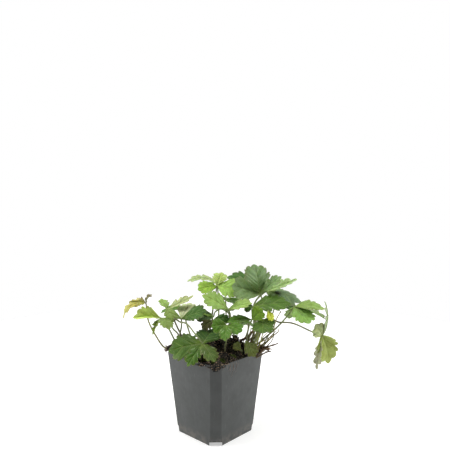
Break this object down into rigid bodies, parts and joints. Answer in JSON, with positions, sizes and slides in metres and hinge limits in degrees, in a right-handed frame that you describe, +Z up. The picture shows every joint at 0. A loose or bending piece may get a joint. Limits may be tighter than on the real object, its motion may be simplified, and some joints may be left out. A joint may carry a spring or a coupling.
{
  "type": "potted plant",
  "caption": "Low clump-forming plant with toothed three-part leaves on thin stalks, fresh and withered, in a square tapered nursery pot filled with dark soil.",
  "frame": {"origin": "centre of the pot's base, on the floor", "axes": "+Z up; the pot's four walls face along X and Y, and the picture looks from the -X -Y side, at the corner between the walls that face -X and -Y"},
  "size_m": [0.1968, 0.2069, 0.2035],
  "materials": {
    "pot": "matt moulded nursery-pot plastic",
    "soil": "dark damp peat, loose and lumpy",
    "leaf_left_young": "soft leaf, slightly hairy, matt",
    "leaf_left_folded": "soft leaf, slightly hairy, matt",
    "leaf_far_left_withered": "dry, matt",
    "leaf_left_dark": "soft leaf, slightly hairy, matt",
    "leaf_mid_left_dark": "soft leaf, slightly hairy, matt",
    "leaf_centre_bright": "soft leaf, slightly hairy, matt",
    "leaf_centre_back_pale": "soft leaf, slightly hairy, matt",
    "leaf_centre_pale": "soft leaf, slightly hairy, matt",
    "leaf_crown_large": "soft leaf, slightly hairy, matt",
    "leaf_crown_back_dark": "soft leaf, slightly hairy, matt",
    "leaf_right_domed": "soft leaf, slightly hairy, matt",
    "leaf_right_green": "soft leaf, slightly hairy, matt",
    "leaf_far_right_green": "soft leaf, slightly hairy, matt",
    "leaf_far_right_withered": "dry, matt",
    "leaf_front_centre": "soft leaf, slightly hairy, matt",
    "leaf_right_low_green": "soft leaf, slightly hairy, matt",
    "leaf_right_low_dark": "soft leaf, slightly hairy, matt",
    "leaf_front_left_large": "soft leaf, slightly hairy, matt",
    "leaf_small_on_soil": "dry, matt",
    "leaf_small_right_rim": "soft leaf, slightly hairy, matt",
    "leaf_small_brown": "dry, matt",
    "leaf_small_yellow": "soft leaf, slightly hairy, matt",
    "leaf_back_left": "soft leaf, slightly hairy, matt",
    "leaf_back_centre": "soft leaf, slightly hairy, matt",
    "leaf_back_right": "soft leaf, slightly hairy, matt",
    "leaf_back_low": "soft leaf, slightly hairy, matt",
    "leaf_back_far_low": "soft leaf, slightly hairy, matt",
    "runner_brown": "rough bark",
    "stub_grey": "soft leaf, slightly hairy, matt",
    "stub_pale": "soft leaf, slightly hairy, matt",
    "stub_dark_tip": "rough bark",
    "twig_right_tall": "dry, matt",
    "twig_right_short": "dry, matt"
  },
  "bodies": {
    "root": {"pot": "pot", "soil": "soil", "leaf_left_young": "leaf_left_young", "leaf_left_folded": "leaf_left_folded", "leaf_far_left_withered": "leaf_far_left_withered", "leaf_left_dark": "leaf_left_dark", "leaf_mid_left_dark": "leaf_mid_left_dark", "leaf_centre_bright": "leaf_centre_bright", "leaf_centre_back_pale": "leaf_centre_back_pale", "leaf_centre_pale": "leaf_centre_pale", "leaf_crown_large": "leaf_crown_large", "leaf_crown_back_dark": "leaf_crown_back_dark", "leaf_right_domed": "leaf_right_domed", "leaf_right_green": "leaf_right_green", "leaf_far_right_green": "leaf_far_right_green", "leaf_far_right_withered": "leaf_far_right_withered", "leaf_front_centre": "leaf_front_centre", "leaf_right_low_green": "leaf_right_low_green", "leaf_right_low_dark": "leaf_right_low_dark", "leaf_front_left_large": "leaf_front_left_large", "leaf_small_on_soil": "leaf_small_on_soil", "leaf_small_right_rim": "leaf_small_right_rim", "leaf_small_brown": "leaf_small_brown", "leaf_small_yellow": "leaf_small_yellow", "leaf_back_left": "leaf_back_left", "leaf_back_centre": "leaf_back_centre", "leaf_back_right": "leaf_back_right", "leaf_back_low": "leaf_back_low", "leaf_back_far_low": "leaf_back_far_low", "runner_brown": "runner_brown", "stub_grey": "stub_grey", "stub_pale": "stub_pale", "stub_dark_tip": "stub_dark_tip", "twig_right_tall": "twig_right_tall", "twig_right_short": "twig_right_short"}
  },
  "joints": []
}
